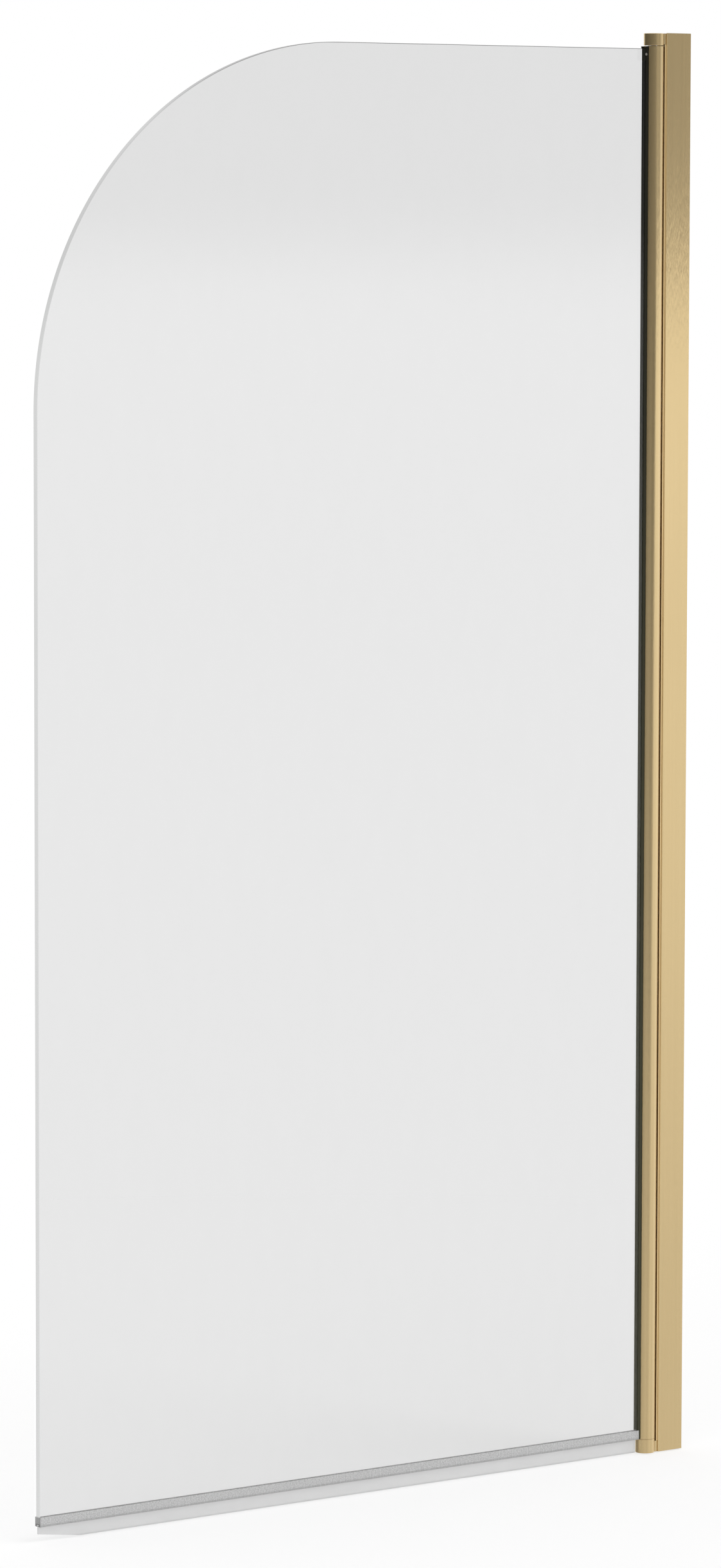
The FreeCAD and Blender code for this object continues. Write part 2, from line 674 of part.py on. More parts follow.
def glazing_boot():
    """A U-shaped boot around the glass edge: thin legs in the slot and a bead outside it.

    The rear bead has a wing on the glass; the front one has only a short tab at its top end.
    """
    body = new_body("glazing_boot")
    wing_y = glass_half + s.boot_wing_thickness
    bead_y = glass_half + s.boot_bead_thickness
    front_bead = [
        (boot_bead_x, -glass_half), (boot_bead_x, -bead_y), (boot_bead_right_x, -bead_y),
        (boot_bead_right_x, -slot_half), (slot_floor_x, -slot_half),
    ]
    rear_bead = [(x, -y) for x, y in reversed(front_bead[1:])]
    rear_wing = [(boot_bead_x, wing_y), (boot_wing_x, wing_y), (boot_wing_x, glass_half)]
    inside = [(glass_right_x, glass_half), (glass_right_x, -glass_half)]
    plan = new_sketch(body, "XY_Plane", "plan", (ZERO, ZERO, glass_bottom))
    polygon(plan, front_bead + rear_bead + rear_wing + inside)
    inner_top = barrel_top - s.flange_recess - s.boot_end_gap
    pad(body, plan, "boot", inner_top - glass_bottom)

    beyond = s.boot_wing_width
    low_wings = new_sketch(body, "XZ_Plane", "low_wings")
    clear_x = carrier_right_x + s.boot_end_gap
    rectangle(low_wings, (boot_wing_x - beyond, glass_bottom - beyond),
              (clear_x, carrier_top + s.boot_end_gap))
    pocket(body, low_wings, "carrier_notch", s.channel_width, symmetric=True)
    high_wings = new_sketch(body, "XZ_Plane", "high_wings")
    rectangle(high_wings, (boot_wing_x - beyond, glass_top), (boot_bead_x, inner_top + beyond))
    pocket(body, high_wings, "wing_top", s.channel_width, symmetric=True)

    for end, left_x, low, high in (
            ("bottom", clear_x, barrel_bottom + s.boot_end_gap, glass_bottom),
            ("top", boot_bead_x, inner_top, barrel_top - s.boot_end_gap)):
        bead_end = new_sketch(body, "XY_Plane", f"{end}_bead_end", (ZERO, ZERO, low))
        for near_y, far_y in ((glass_half, bead_y), (-bead_y, -glass_half)):
            rectangle(bead_end, (left_x, near_y), (boot_bead_right_x, far_y))
        pad(body, bead_end, f"{end}_bead", high - low)

    tab_low = glass_top - s.boot_tab_height
    tab = new_sketch(body, "XY_Plane", "tab", (ZERO, ZERO, tab_low))
    rectangle(tab, (slot_mouth_x - s.boot_tab_width, -wing_y), (boot_bead_x, -glass_half))
    pad(body, tab, "stud_tab", s.boot_tab_height)
    hole = new_sketch(body, "XZ_Plane", "stud_hole")
    circle(hole, (boot_bead_x, stud_z), s.stud_shank_diameter / 2 + s.press_clearance)
    pocket(body, hole, "stud_hole_cut", s.channel_width, reverse=True)
    return body


def boot_stud():
    """A small round stud on the boot's front, near its top end."""
    body = new_body("boot_stud")
    face = glass_half + s.boot_bead_thickness
    shank = new_sketch(body, "XZ_Plane", "shank", (ZERO, ZERO, glass_half))
    circle(shank, (boot_bead_x, stud_z), s.stud_shank_diameter / 2)
    pad(body, shank, "shank_round", s.boot_bead_thickness)
    head = new_sketch(body, "XZ_Plane", "head", (ZERO, ZERO, face))
    circle(head, (boot_bead_x, stud_z), s.stud_head_diameter / 2)
    button = pad(body, head, "button", s.stud_head_height)
    crown = -(face + s.stud_head_height)
    rims = edges_where(button.Shape, lambda edge, at: near(at.y, crown) and edge.Closed)
    dress(body, "Fillet", "crown_edge", button, rims, s.stud_head_height / 2)
    return body


def glass_setting_block():
    """Carries the glass on the bottom bush's flange, between the boot's legs."""
    body = new_body("glass_setting_block")
    half = glass_half - s.block_side_gap
    plan = new_sketch(body, "XY_Plane", "plan", (ZERO, ZERO, flange_top))
    right_x = slot_floor_x - s.block_side_gap
    rectangle(plan, (right_x - s.block_length, -half), (right_x, half))
    pad(body, plan, "block", glass_bottom - flange_top)
    return body


def bottom_seal_carrier():
    """A rigid profile that clips on the glass, with a keyway for the blade in its floor."""
    body = new_body("bottom_seal_carrier")
    inner = glass_half + s.carrier_glass_gap
    outer = inner + s.carrier_wall
    neck = s.blade_thickness / 2 + s.blade_slot_gap
    head = s.blade_head_width / 2 + s.blade_slot_gap
    low, high = barrel_bottom, carrier_top
    key_low = low + s.blade_neck_wall
    key_high = key_low + s.blade_slot_height
    profile = new_sketch(body, "YZ_Plane", "profile", (ZERO, ZERO, -s.panel_reach))
    right_half = [
        (neck, low), (outer, low), (outer, high), (inner, high), (inner, glass_bottom)]
    left_half = [(-y, z) for y, z in reversed(right_half)]
    keyway = [(-neck, key_low), (-head, key_low), (-head, key_high),
              (head, key_high), (head, key_low), (neck, key_low)]
    polygon(profile, right_half + left_half + keyway)
    pad(body, profile, "rail", carrier_right_x + s.panel_reach)
    return body


def bottom_seal_blade():
    """A soft blade hanging from a T-shaped head; its free end is trimmed at a slant."""
    body = new_body("bottom_seal_blade")
    stem = s.blade_thickness / 2
    head = s.blade_head_width / 2
    key_low = barrel_bottom + s.blade_neck_wall + s.blade_slot_gap
    key_high = barrel_bottom + s.blade_neck_wall + s.blade_slot_height - s.blade_slot_gap
    low = s.blade_rim_gap
    profile = new_sketch(body, "YZ_Plane", "profile", (ZERO, ZERO, -s.panel_reach))
    polygon(profile, [
        (-stem, low), (stem, low), (stem, key_low), (head, key_low),
        (head, key_high), (-head, key_high), (-head, key_low), (-stem, key_low),
    ])
    pad(body, profile, "strip", pivot_x - s.blade_pivot_gap + s.panel_reach)
    trim = new_sketch(body, "XZ_Plane", "trim")
    left_x = -s.panel_reach
    slope_run, slope_rise = s.blade_trim_length, s.blade_trim_height
    polygon(trim, [(left_x, low), (left_x + slope_run, low), (left_x, low + slope_rise)])
    pocket(body, trim, "trimmed_end", s.channel_width, symmetric=True)
    return body


pieces = [
    wall_channel(),
    hinge_post(),
    hinge_cap("bottom_hinge_cap", ZERO, s.bottom_cap_height, ZERO, s.bottom_neck_height,
              bottom_pin_low, ZERO),
    hinge_cap("top_hinge_cap", top_cap_bottom, top_cap_top, top_cap_top - s.top_neck_height,
              top_cap_top, top_cap_bottom, top_cap_top),
    pivot_pin("bottom_pivot_pin", bottom_pin_low),
    pivot_pin("top_pivot_pin", top_pin_low),
    cap_screws("bottom_cap_screws", ZERO, 1),
    cap_screws("top_cap_screws", top_cap_top, -1),
    clamp_screws(),
    screw_covers(),
    channel_top_plug(),
    post_water_seal(),
    glass_panel(),
    pivot_barrel(),
    glazing_boot(),
    boot_stud(),
    glass_setting_block(),
    pivot_bush("bottom_pivot_bush", s.bottom_cap_height, flange_top, flange_top + s.bush_length),
    pivot_bush("top_pivot_bush", top_cap_bottom - s.top_flange_gap, barrel_top - s.flange_recess,
               barrel_top - s.flange_recess - s.bush_length),
    bottom_seal_carrier(),
    bottom_seal_blade(),
]

document.recompute()
for item in document.Objects:
    if "Invalid" in item.State or "Error" in item.State:
        raise RuntimeError(f"{item.Name} failed: {item.State}")
for piece in pieces:
    if piece.Shape.isNull() or not piece.Shape.isValid():
        raise RuntimeError(f"{piece.Label} has no valid shape")

os.makedirs("parts", exist_ok=True)
for piece in pieces:
    piece.Shape.exportStep(f"parts/{piece.Label}.step")
    print(f"{piece.Label}: {len(piece.Shape.Solids)} solid(s), {piece.Shape.Volume:.1f} mm3")
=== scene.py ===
"""Dresses the bath screen's solids with their finishes, and lights and frames them.

Lengths are in metres in the screen's own frame: the wall is x = 0, the glass lies on y = 0 with
its front towards -Y, and the bath rim is z = 0.
"""
from contextlib import contextmanager
from math import cos, pi, radians, sin

import bmesh
import bpy
from bpy.props import FloatProperty, FloatVectorProperty, IntProperty, PointerProperty
from mathutils import Matrix, Vector


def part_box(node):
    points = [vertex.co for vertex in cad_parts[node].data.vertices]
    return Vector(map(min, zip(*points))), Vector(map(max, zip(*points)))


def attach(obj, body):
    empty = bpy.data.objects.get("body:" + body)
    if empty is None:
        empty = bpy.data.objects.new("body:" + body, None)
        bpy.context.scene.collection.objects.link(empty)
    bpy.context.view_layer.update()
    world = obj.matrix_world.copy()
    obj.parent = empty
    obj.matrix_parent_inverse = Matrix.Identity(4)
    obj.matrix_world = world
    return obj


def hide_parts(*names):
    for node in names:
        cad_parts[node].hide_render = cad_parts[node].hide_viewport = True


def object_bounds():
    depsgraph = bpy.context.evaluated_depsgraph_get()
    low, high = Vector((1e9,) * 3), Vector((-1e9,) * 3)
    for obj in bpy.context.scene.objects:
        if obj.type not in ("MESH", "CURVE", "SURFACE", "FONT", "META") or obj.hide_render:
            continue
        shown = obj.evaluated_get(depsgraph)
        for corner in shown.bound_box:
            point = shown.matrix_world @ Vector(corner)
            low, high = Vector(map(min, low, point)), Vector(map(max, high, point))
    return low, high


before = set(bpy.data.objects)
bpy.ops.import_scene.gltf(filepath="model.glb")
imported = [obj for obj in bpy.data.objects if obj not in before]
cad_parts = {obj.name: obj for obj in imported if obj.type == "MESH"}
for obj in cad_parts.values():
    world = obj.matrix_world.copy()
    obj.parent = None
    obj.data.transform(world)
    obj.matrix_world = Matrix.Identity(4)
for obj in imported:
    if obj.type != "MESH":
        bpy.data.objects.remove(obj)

bl_info = {
    "name": "Bath Screen",
    "version": (1, 0, 0),
    "blender": (4, 5, 0),
    "location": "View3D > Sidebar > Bath Screen",
    "description": "Finishes, glass, seals and studio for a hinged bath screen",
    "category": "Object",
}

MILLIMETRE = 0.001
TINY = 1e-5
X_AXIS, Y_AXIS, Z_AXIS = range(3)
BLACK = (0.0, 0.0, 0.0)
WHITE = (1.0, 1.0, 1.0)
CAD_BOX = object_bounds()


# ---------------------------------------------------------------- settings


def length(name, description, default):
    return FloatProperty(name=name, description=description, default=default, min=0.0,
                         subtype="DISTANCE", unit="LENGTH")


def share(name, description, default):
    return FloatProperty(name=name, description=description, default=default, min=0.0, max=1.0,
                         subtype="FACTOR")


def colour(name, description, default):
    return FloatVectorProperty(name=name, description=description, default=default, size=3,
                               min=0.0, max=1.0, subtype="COLOR")


class GlassSettings(bpy.types.PropertyGroup):
    """Sizes and colours of the pane."""
    corner_radius: length("Corner radius", "Radius of the pane's rounded corner", 0.350)
    corner_steps: IntProperty(name="Corner steps", description="Facets around the corner",
                              default=96, min=8)
    arris: length("Arris", "Width of the ground bevel on every edge", 0.0006)
    tint: colour("Tint", "Light left after a pass through the pane", (0.80, 0.80, 0.80))
    edge_tint: colour("Edge tint", "Colour of the ground edge", (0.15, 0.155, 0.15))
    # Painted shade: the ground edge is painted darker where its rounded corner faces up.
    painted_crown_shade: colour("High tint", "Colour of the ground edge where it faces up",
                      (0.05, 0.05, 0.05))
    held_tint: colour("Held tint", "Colour of the ground edge inside the rail", (0.36, 0.36, 0.36))
    # Painted glow: the edge emits light of its own, standing in for light the pane guides to its
    # edge, and less of it up high.
    painted_edge_glow: share("Edge glow", "Light that the pane guides to its edge", 0.54)
    painted_crown_glow_loss: share("High loss", "Share of that light which misses the edge's highest part", 0.60)


class BrassSettings(bpy.types.PropertyGroup):
    """Colours and brushing of the brass."""
    light: colour("Light brass", "Crests of the brushing", (0.86, 0.66, 0.35))
    dark: colour("Dark brass", "Valleys of the brushing", (0.75, 0.56, 0.28))
    roughness: share("Roughness", "Average roughness of the brushed face", 0.15)
    shine: share("Shine", "Metallic share of the brushed faces", 0.88)
    mouth_shine: share("Mouth shine", "Metallic share of the lip and of the channel's mouth", 0.40)
    grain_width: length("Grain width", "Width of one brush line", 0.00028)
    streak_width: length("Streak width", "Width of a broad streak", 0.0022)
    fleck: length("Fleck", "Width of the short flecks that the brushing leaves", 0.0011)
    edge_round: length("Edge rounding", "Width of the eased edges", 0.00012)


class SealSettings(bpy.types.PropertyGroup):
    """Colours and edges of the rubber and plastic profiles."""
    rubber: colour("Rubber", "Colour of the glazing boot", (0.0065, 0.0065, 0.004))
    # Painted light from below, with some dust: the rubber takes this colour where it is lightest,
    # low down.
    floor_light_and_dust: colour("Bloom", "Lime and dust that settle low on the rubber", (0.222, 0.214, 0.130))
    # Painted reflection: the strip is painted warm brown, standing in for the brass's reflection
    # inside the slit.
    strip: colour("Strip", "Colour of the strip inside the hinge's slit", (0.016, 0.008, 0.003))
    rail: colour("Rail", "Colour of the clip-on rail", (0.50, 0.50, 0.50))
    sawn: colour("Sawn end", "Colour of the rail's sawn end", (0.24, 0.24, 0.24))
    blade: colour("Blade", "Colour of the wiper blade", (0.78, 0.78, 0.78))
    stud: colour("Stud", "Colour of the small stud in the boot", (0.17, 0.16, 0.14))
    soft_round: length("Soft rounding", "Rounding of the soft profiles' edges", 0.00028)


class StudioSettings(bpy.types.PropertyGroup):
    """Camera, lamps and surroundings."""
    camera_aim: FloatVectorProperty(name="Camera aim", description="Point in the picture's middle",
                                    default=(-0.2615, 0.1917, 0.6790), subtype="TRANSLATION")
    camera_azimuth: FloatProperty(name="Camera azimuth", description="Turn about the vertical",
                                  default=radians(-36.840), subtype="ANGLE")
    camera_elevation: FloatProperty(name="Camera elevation", description="Height above level",
                                    default=radians(5.178), subtype="ANGLE")
    camera_roll: FloatProperty(name="Camera roll", description="Turn about the line of sight",
                               default=radians(0.124), subtype="ANGLE")
    camera_distance: length("Camera distance", "From the aim to the camera", 6.416)
    camera_lens: FloatProperty(name="Focal length", description="In mm, for a 36 mm long side",
                               default=145.76)
    floor_radius: length("Floor radius", "Radius of the floor", 3.2)
    floor_tone: share("Floor tone", "Grey of the pale floor", 0.93)
    floor_lift: share("Floor lift", "How far the floor near the screen is lifted to white", 0.66)
    key_strength: FloatProperty(name="Key strength", description="Soft lamp from the front right",
                                default=1.3, min=0.0)
    fill_strength: FloatProperty(name="Fill strength", description="Soft lamp from the front left",
                                 default=0.7, min=0.0)


SETTINGS = {
    "bath_screen_glass": GlassSettings,
    "bath_screen_brass": BrassSettings,
    "bath_screen_seals": SealSettings,
    "bath_screen_studio": StudioSettings,
}


# ---------------------------------------------------------------- node wiring


class Wire:
    """An output socket that adds Math nodes when it is used in an expression."""

    def __init__(self, graph, socket):
        self.graph = graph
        self.socket = socket

    def _math(self, operation, first, second):
        return self.graph.add("ShaderNodeMath", {"operation": operation}, {0: first, 1: second})

    def __add__(self, other):
        return self._math("ADD", self, other)

    def __sub__(self, other):
        return self._math("SUBTRACT", self, other)

    def __mul__(self, other):
        return self._math("MULTIPLY", self, other)

    def __truediv__(self, other):
        return self._math("DIVIDE", self, other)

    __radd__ = __add__

    def most(self, other):
        return self._math("MAXIMUM", self, other)

    def ramp(self, low, high):
        """0 at low and 1 at high, with a smooth rise between."""
        return self.graph.add("ShaderNodeMapRange", {"interpolation_type": "SMOOTHSTEP"},
                              {"Value": self, "From Min": low, "From Max": high})


class Graph:
    """One node tree, filled by a single add method."""

    def __init__(self, tree):
        self.tree = tree
        tree.nodes.clear()

    def add(self, kind, settings=None, inputs=None, out=0):
        node = self.tree.nodes.new(kind)
        for name, value in (settings or {}).items():
            if name == "stops":
                self._set_stops(node.color_ramp, value)
            else:
                setattr(node, name, value)
        for name, value in (inputs or {}).items():
            if isinstance(value, Wire):
                self.tree.links.new(value.socket, node.inputs[name])
            elif hasattr(value, "__len__") and len(value) == 3 and node.inputs[name].type == "RGBA":
                node.inputs[name].default_value = (*value, 1.0)
            else:
                node.inputs[name].default_value = value
        return Wire(self, node.outputs[out]) if node.outputs else None

    @staticmethod
    def _set_stops(ramp, stops):
        while len(ramp.elements) < len(stops):
            ramp.elements.new(1.0)
        for element, (place, grey) in zip(ramp.elements, stops):
            element.position = place
            element.color = (grey, grey, grey, 1.0)

    def blend(self, factor, first, second):
        """A colour between two colours; 6, 7 and 2 are the Mix node's colour sockets."""
        return self.add("ShaderNodeMix", {"data_type": "RGBA"}, {0: factor, 6: first, 7: second},
                        out=2)

    def noise(self, cell, detail=2.0, roughness=0.5):
        """Noise from 0 to 1, whose lumps are as large as cell along each axis."""
        place = self.add("ShaderNodeTexCoord", out="Object")
        scaled = self.add("ShaderNodeMapping", None,
                          {"Vector": place, "Scale": [1.0 / size for size in cell]})
        return self.add("ShaderNodeTexNoise", None,
                        {"Vector": scaled, "Scale": 1.0, "Detail": detail,
                         "Roughness": roughness})

    def place(self, axis):
        """Where a point lies along one axis of the screen's frame."""
        place = self.add("ShaderNodeTexCoord", out="Object")
        return self.add("ShaderNodeSeparateXYZ", None, {"Vector": place}, out=axis)

    def bump(self, height, depth, strength=1.0):
        return self.add("ShaderNodeBump", None,
                        {"Height": height, "Distance": depth, "Strength": strength})


def finish_material(name, build):
    """A material whose build function returns the inputs of its one Principled shader."""
    material = bpy.data.materials.new(name)
    material.use_nodes = True
    graph = Graph(material.node_tree)
    surface = graph.add("ShaderNodeBsdfPrincipled", None, build(graph))
    graph.add("ShaderNodeOutputMaterial", None, {"Surface": surface})
    return material


# ---------------------------------------------------------------- finishes


def brushed_brass(name, settings, metallic):
    """Brass brushed along its length, with a thin clear lacquer."""
    def build(graph):
        width, streak = settings.grain_width, settings.streak_width
        grain = graph.noise((width, width, 0.09), detail=3.0)
        streaks = graph.noise((streak, streak, 0.42), detail=3.0)
        patches = graph.noise((0.03, 0.03, 0.16), detail=2.0)
        flecks = graph.noise((settings.fleck, settings.fleck, settings.fleck * 10), detail=2.0)
        tone = grain * 0.30 + streaks * 0.40 + flecks * 0.15 + patches * 0.15
        return {
            "Base Color": graph.blend(tone, settings.dark, settings.light),
            "Metallic": metallic,
            "Roughness": settings.roughness + (grain - 0.5) * 0.06 + (streaks - 0.5) * 0.04,
            "Anisotropic": 1.0,
            "Coat Weight": 0.45,
            "Coat Roughness": 0.10,
            "Normal": graph.bump(grain + streaks * 0.6 + flecks * 5.0, 0.000012),
        }
    return finish_material(name, build)


def clear_glass(settings):
    """Clear toughened glass: a faint roll wave and a hardly visible film of lime."""
    def build(graph):
        wave = graph.noise((0.30, 0.30, 0.05), detail=1.0)
        film = graph.noise((0.02, 0.02, 0.05), detail=4.0)
        clearer = [channel * 1.02 for channel in settings.tint]
        return {
            "Base Color": graph.blend(film, settings.tint, clearer),
            "Transmission Weight": 1.0,
            "IOR": 1.52,
            "Roughness": 0.0,
            "Normal": graph.bump(wave, 0.00004, 0.25),
        }
    return finish_material("clear_glass", build)


def ground_edge(settings, rail_top):
    """The pane's ground edge: pale by a painted glow, dull inside the rail, darker up high by
    painted shade.

    The painted shade goes by the edge's height, a stand-in for how far the rounded corner faces up.
    """
    # Heights where the painted shade on the rounded corner begins and where it is full.
    corner_foot = (1.10, 1.25)
    corner_head = (1.33, 1.42)

    def build(graph):
        height = graph.place("Z")
        free = height.ramp(rail_top - MILLIMETRE, rail_top + MILLIMETRE)
        # Painted shade and a weaker painted glow where the rounded corner faces up.
        high = height.ramp(*corner_foot) * 0.3 + height.ramp(*corner_head) * 0.7
        tint = graph.blend(high, settings.edge_tint, settings.painted_crown_shade)
        wheel_marks = graph.noise((0.0009, 0.0009, 0.0009), detail=2.0)
        return {
            "Base Color": graph.blend(free, settings.held_tint, tint),
            # Painted glow: the edge emits light though it is no lamp; none inside the rail, less up
            # high.
            "Emission Color": graph.blend(free - high * settings.painted_crown_glow_loss, BLACK, WHITE),
            "Emission Strength": settings.painted_edge_glow,
            "IOR": 1.52,
            "Roughness": 0.22 + wheel_marks * 0.12,
            "Normal": graph.bump(wheel_marks, 0.00001),
        }
    return finish_material("ground_edge", build)


def gasket_rubber(name, clean, floor_lit_and_dusty):
    """Dark rubber with die lines along it, painted lighter downwards and on its rear lip as painted
    light from below, mottled with dust.
    """
    floor_light_head, floor_light_foot = 1.45, 0.40
    glass_half = 3 * MILLIMETRE

    def build(graph):
        lines = graph.noise((0.0004, 0.0004, 0.12), detail=2.0)
        grain = graph.noise((0.0005, 0.0005, 0.0005), detail=2.0)
        dust = graph.noise((0.02, 0.02, 0.09), detail=3.0)
        # Painted light: the rubber gets lighter downwards, most on its rear lip behind the glass,
        # mottled by dust noise and die lines.
        low = graph.place("Z").ramp(floor_light_head, floor_light_foot)
        rear = graph.place("Y").ramp(-glass_half, glass_half)
        floor_light_and_dust = (low * 0.85 + (dust - 0.5) * 0.2 + lines * 0.1) * (rear * 0.80 + 0.20)
        return {
            "Base Color": graph.blend(floor_light_and_dust, clean, floor_lit_and_dusty),
            "Roughness": 0.42 + grain * 0.16,
            "Specular IOR Level": 0.15,
            "Normal": graph.bump(lines + grain * 0.5, 0.00003),
        }
    return finish_material(name, build)


def rail_plastic(name, tone, foot):
    """Translucent rigid profile with clouding in its wall, darker in a mottled band along its foot.
    """
    def build(graph):
        clouds = graph.noise((0.0016, 0.004, 0.0011), detail=3.0, roughness=0.65)
        marks = graph.noise((0.0011, 0.004, 0.02), detail=2.0)
        sparkle = (clouds * 0.75 + marks * 0.25).ramp(0.30, 0.70)
        # Darker in a mottled band just above the rail's foot.
        floor = graph.place("Z").ramp(foot + 0.0024, foot + 0.0014) * clouds.ramp(0.25, 0.60)
        darker = [channel * 0.86 for channel in tone]
        paler = [min(1.0, channel * 1.48) for channel in tone]
        return {
            "Base Color": graph.blend(sparkle - floor * 0.45, darker, paler),
            "Roughness": 0.30 + clouds * 0.15,
            "Transmission Weight": 0.35,
            "IOR": 1.45,
            "Normal": graph.bump(clouds + marks, 0.00006),
        }
    return finish_material(name, build)


def blade_plastic(settings, foot):
    """Soft pale blade, a little cloudy, with a greyer edge that wipes the rim."""
    def build(graph):
        clouds = graph.noise((0.03, 0.03, 0.008), detail=3.0)
        lines = graph.noise((0.10, 0.0006, 0.0006), detail=2.0)
        wiping = graph.place("Z").ramp(foot + 0.0022, foot + 0.0006)
        darker = [channel * 0.80 for channel in settings.blade]
        return {
            "Base Color": graph.blend(clouds * 0.3 + 0.7 - wiping * 0.7, darker, settings.blade),
            "Roughness": 0.38 + lines * 0.12,
            "Transmission Weight": 0.30,
            "IOR": 1.43,
            "Normal": graph.bump(lines, 0.00003),
        }
    return finish_material("blade_plastic", build)


def bright_steel():
    """Stainless steel with turning marks."""
    def build(graph):
        marks = graph.noise((0.0002, 0.0002, 0.0002), detail=2.0)
        return {
            "Base Color": graph.blend(marks, (0.50, 0.50, 0.50), (0.62, 0.62, 0.61)),
            "Metallic": 1.0,
            "Roughness": 0.24 + marks * 0.14,
            "Normal": graph.bump(marks, 0.000008),
        }
    return finish_material("bright_steel", build)


def moulded_plastic(name, tone, paler, roughness):
    """Injection-moulded plastic with a fine spark-eroded grain."""
    def build(graph):
        grain = graph.noise((0.0003, 0.0003, 0.0003), detail=2.0)
        flow = graph.noise((0.004, 0.004, 0.007), detail=2.0)
        return {
            "Base Color": graph.blend(flow, tone, paler),
            "Roughness": roughness + grain * 0.15,
            "Normal": graph.bump(grain, 0.00001),
        }
    return finish_material(name, build)


# ---------------------------------------------------------------- modelling


def select_only(piece):
    bpy.ops.object.select_all(action="DESELECT")
    piece.select_set(True)
    bpy.context.view_layer.objects.active = piece


@contextmanager
def editing(piece):
    """Edit mode on one piece with nothing selected; gives its editable mesh."""
    select_only(piece)
    bpy.ops.object.mode_set(mode="EDIT")
    bpy.ops.mesh.select_mode(type="EDGE")
    bpy.ops.mesh.select_all(action="DESELECT")
    yield bmesh.from_edit_mesh(piece.data)
    bpy.ops.object.mode_set(mode="OBJECT")


def pick_edges(piece, mesh, test):
    """Select the edges that pass a test on the edge and its middle."""
    bpy.ops.mesh.select_all(action="DESELECT")
    for edge in mesh.edges:
        middle = (edge.verts[0].co + edge.verts[1].co) / 2
        if test(edge, middle):
            edge.select_set(True)
    bmesh.update_edit_mesh(piece.data)


def near(first, second):
    return abs(first - second) < TINY


def block(name, low, high):
    """A cuboid between two corners, its place in its mesh."""
    bpy.ops.mesh.primitive_cube_add(size=1.0, location=(low + high) / 2, scale=high - low)
    bpy.ops.object.transform_apply(location=True, rotation=True, scale=True)
    piece = bpy.context.active_object
    piece.name = piece.data.name = name
    return piece


def is_sharp(edge, least=radians(30)):
    return len(edge.link_faces) == 2 and edge.calc_face_angle(0.0) > least


def eased_copy(node, name, width, steps, test):
    """A copy of a solid, joined up, with the sharp edges that pass a test rounded."""
    piece = bpy.data.objects.new(name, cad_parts[node].data.copy())
    bpy.context.scene.collection.objects.link(piece)
    select_only(piece)
    bpy.ops.mesh.customdata_custom_splitnormals_clear()
    with editing(piece):
        bpy.ops.mesh.select_all(action="SELECT")
        bpy.ops.mesh.remove_doubles(threshold=TINY / 10)
        bpy.ops.mesh.dissolve_limited(angle_limit=radians(0.05))
        mesh = bmesh.from_edit_mesh(piece.data)
        pick_edges(piece, mesh, lambda edge, middle: is_sharp(edge) and test(edge, middle))
        bpy.ops.mesh.bevel(offset=width, segments=steps, profile=0.5, affect="EDGES",
                           clamp_overlap=False)
    smooth(piece)
    return piece


def smooth(piece, angle=radians(32)):
    """Shade a piece smooth across its small angles, with its large faces kept flat."""
    select_only(piece)
    bpy.ops.object.shade_smooth_by_angle(angle=angle)
    bpy.ops.object.modifier_add(type="WEIGHTED_NORMAL")
    weighting = piece.modifiers[-1]
    weighting.keep_sharp = True
    bpy.ops.object.modifier_apply(modifier=weighting.name)


def runs_along(axis, least):
    """A test for edges that run along one axis for at least a length."""
    def test(edge, _middle):
        run = edge.verts[1].co - edge.verts[0].co
        return run.length > least and abs(run[axis]) > 0.999 * run.length
    return test


def dress(piece, *materials):
    piece.data.materials.clear()
    for material in materials:
        piece.data.materials.append(material)


def clear_the_glass(piece, glass="glass_panel", spread=1.01):
    """Part a profile by a hair from the two faces of the glass that it grips."""
    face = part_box(glass)[1].y
    with editing(piece) as mesh:
        bpy.ops.mesh.select_mode(type="VERT")
        for vertex in mesh.verts:
            vertex.select_set(near(abs(vertex.co.y), face))
        bmesh.update_edit_mesh(piece.data)
        bpy.ops.transform.resize(value=(1.0, spread, 1.0), center_override=(0.0, 0.0, 0.0))


def finish_faces(piece, slot, test):
    """Give the faces that pass a test the material in one of the piece's slots."""
    with editing(piece) as mesh:
        bpy.ops.mesh.select_mode(type="FACE")
        bpy.ops.mesh.select_all(action="DESELECT")
        for face in mesh.faces:
            if test(face):
                face.select_set(True)
        bmesh.update_edit_mesh(piece.data)
        piece.active_material_index = slot
        bpy.ops.object.material_slot_assign()


def fit(piece, body, slot, *nodes):
    """The piece rides on its body and stands for these solids."""
    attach(piece, body)
    if nodes:
        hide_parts(*nodes)


def dress_node(node, material):
    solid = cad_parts[node]
    dress(solid, material)


def glass_pane(settings):
    """The pane: a slab with one quarter-round corner and an arris on every edge."""
    low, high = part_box("glass_panel")
    pane = block("glass_pane", low, high)
    with editing(pane) as mesh:
        pick_edges(pane, mesh, lambda edge, middle: near(middle.x, low.x) and near(middle.z, high.z)
                   and near(middle.y, (low.y + high.y) / 2))
        bpy.ops.mesh.bevel(offset=settings.corner_radius, segments=settings.corner_steps,
                           profile=0.5, affect="EDGES", clamp_overlap=False)
        mesh = bmesh.from_edit_mesh(pane.data)
        pick_edges(pane, mesh, lambda edge, middle: near(abs(middle.y), high.y))
        bpy.ops.mesh.bevel(offset=settings.arris, segments=2, profile=0.5, affect="EDGES",
                           clamp_overlap=False)
    dress(pane, clear_glass(settings), ground_edge(settings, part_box("bottom_seal_carrier")[1].z))
    finish_faces(pane, 1, lambda face: abs(face.normal.y) < 0.99)
    smooth(pane)
    pane.visible_shadow = False
    return pane


# ---------------------------------------------------------------- operators


class PieceOperator(bpy.types.Operator):
    """Base of the operators that make or finish pieces."""
    bl_options = {"REGISTER"}

    def execute(self, context):
        self.make(context.scene)
        return {"FINISHED"}


class BATHSCREEN_OT_glass(PieceOperator):
    """Model the pane with its rounded corner and ground edges"""
    bl_idname = "bath_screen.glass"
    bl_label = "Glass Pane"

    def make(self, scene):
        fit(glass_pane(scene.bath_screen_glass), "panel_side", "panel_glass", "glass_panel")


